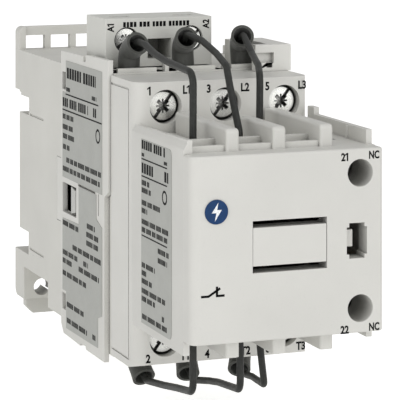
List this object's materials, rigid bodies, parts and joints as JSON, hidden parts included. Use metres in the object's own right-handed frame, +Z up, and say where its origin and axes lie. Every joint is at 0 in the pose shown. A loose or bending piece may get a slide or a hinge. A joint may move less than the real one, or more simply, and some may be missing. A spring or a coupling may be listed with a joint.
{
  "type": "contactor",
  "caption": "Rail-mounted electrical contactor for capacitor switching, with a front pre-charge block and looped damping leads in rubber boots.",
  "frame": {"origin": "middle of the width, on the panel plane that the rear feet rest on, at the height of the rail centre line; it is also the centre of the two diagonal fixing holes", "axes": "+X to the right seen from the front, -Y out of the front towards the user, +Z up along the panel"},
  "size_m": [0.0454, 0.1368, 0.0873],
  "materials": {
    "housing": "fine moulded grain, light warm grey",
    "cover": "fine moulded grain, light grey",
    "block_plastic": "fine moulded grain, pale grey",
    "terminal_block": "fine moulded grain, light grey",
    "latch_plastic": "smooth moulded plastic",
    "snap_plastic": "smooth moulded plastic",
    "dark_plastic": "black glass-filled plastic",
    "marker": "smooth pale plastic",
    "badge_blue": "blue printed badge",
    "label": "printed film label",
    "boot_rubber": "dark grey rubber boot",
    "lead_rubber": "dark insulated wire",
    "cushion_rubber": "black rubber",
    "screw_steel": "bright zinc-plated steel",
    "zinc": "zinc-plated steel",
    "spring_steel": "drawn spring wire",
    "plate_steel": "stamped sheet",
    "core_steel": "laminated electrical steel",
    "copper": "bare copper",
    "copper_alloy": "stamped copper alloy with silver tips",
    "winding": "enamelled copper wire"
  },
  "bodies": {
    "body": {"base_housing": "housing", "latch_spring": "spring_steel", "fixed_core": "core_steel", "shading_rings": "copper", "core_cushion": "cushion_rubber", "coil_bobbin": "dark_plastic", "coil_winding": "winding", "return_springs": "spring_steel", "coil_terminal_block": "terminal_block", "coil_clamps": "zinc", "coil_screws": "screw_steel", "contact_housing": "housing", "side_hood": "cover", "left_side_cover": "cover", "right_side_cover": "cover", "side_snaps": "snap_plastic", "line_contacts": "copper_alloy", "load_contacts": "copper_alloy", "arc_plates": "plate_steel", "line_clamps": "zinc", "load_clamps": "zinc", "line_screws": "screw_steel", "load_screws": "screw_steel", "front_cover": "cover", "aux_housing": "block_plastic", "aux_cover": "block_plastic", "marker_plate": "marker", "badge": "badge_blue", "precharge_contacts": "copper_alloy", "aux_contacts": "copper_alloy", "aux_clamps": "zinc", "aux_screws": "screw_steel", "line_boots": "boot_rubber", "load_boots": "boot_rubber", "lead_pins": "zinc", "line_leads": "lead_rubber", "load_leads": "lead_rubber", "rating_label": "label", "block_label": "label"},
    "latch": {"rail_latch": "latch_plastic"},
    "carrier": {"contact_carrier": "dark_plastic", "armature": "core_steel", "armature_pin": "spring_steel", "contact_springs": "spring_steel"},
    "bridges": {"moving_contacts": "copper_alloy"},
    "slider": {"aux_slider": "dark_plastic", "position_indicator": "marker", "aux_bridges": "copper_alloy", "aux_springs": "spring_steel"}
  },
  "joints": [
    {"name": "carrier_stroke", "type": "slide", "parent": "body", "child": "carrier", "axis": [0, 1, 0], "range_m": [0, 0.005], "deforming": ["return_springs"]},
    {"name": "bridge_lag", "type": "slide", "parent": "carrier", "child": "bridges", "axis": [0, -1, 0], "range_m": [0, 0.0015], "deforming": ["contact_springs"]},
    {"name": "slider_stroke", "type": "slide", "parent": "body", "child": "slider", "axis": [0, 1, 0], "range_m": [0, 0.005]},
    {"name": "latch_pull", "type": "slide", "parent": "body", "child": "latch", "axis": [0, 0, -1], "range_m": [0, 0.0045], "deforming": ["latch_spring"]}
  ],
  "couplings": [
    {"joint": "bridge_lag", "follows": "carrier_stroke", "ratio": 0.3},
    {"joint": "slider_stroke", "follows": "carrier_stroke", "ratio": 1}
  ]
}
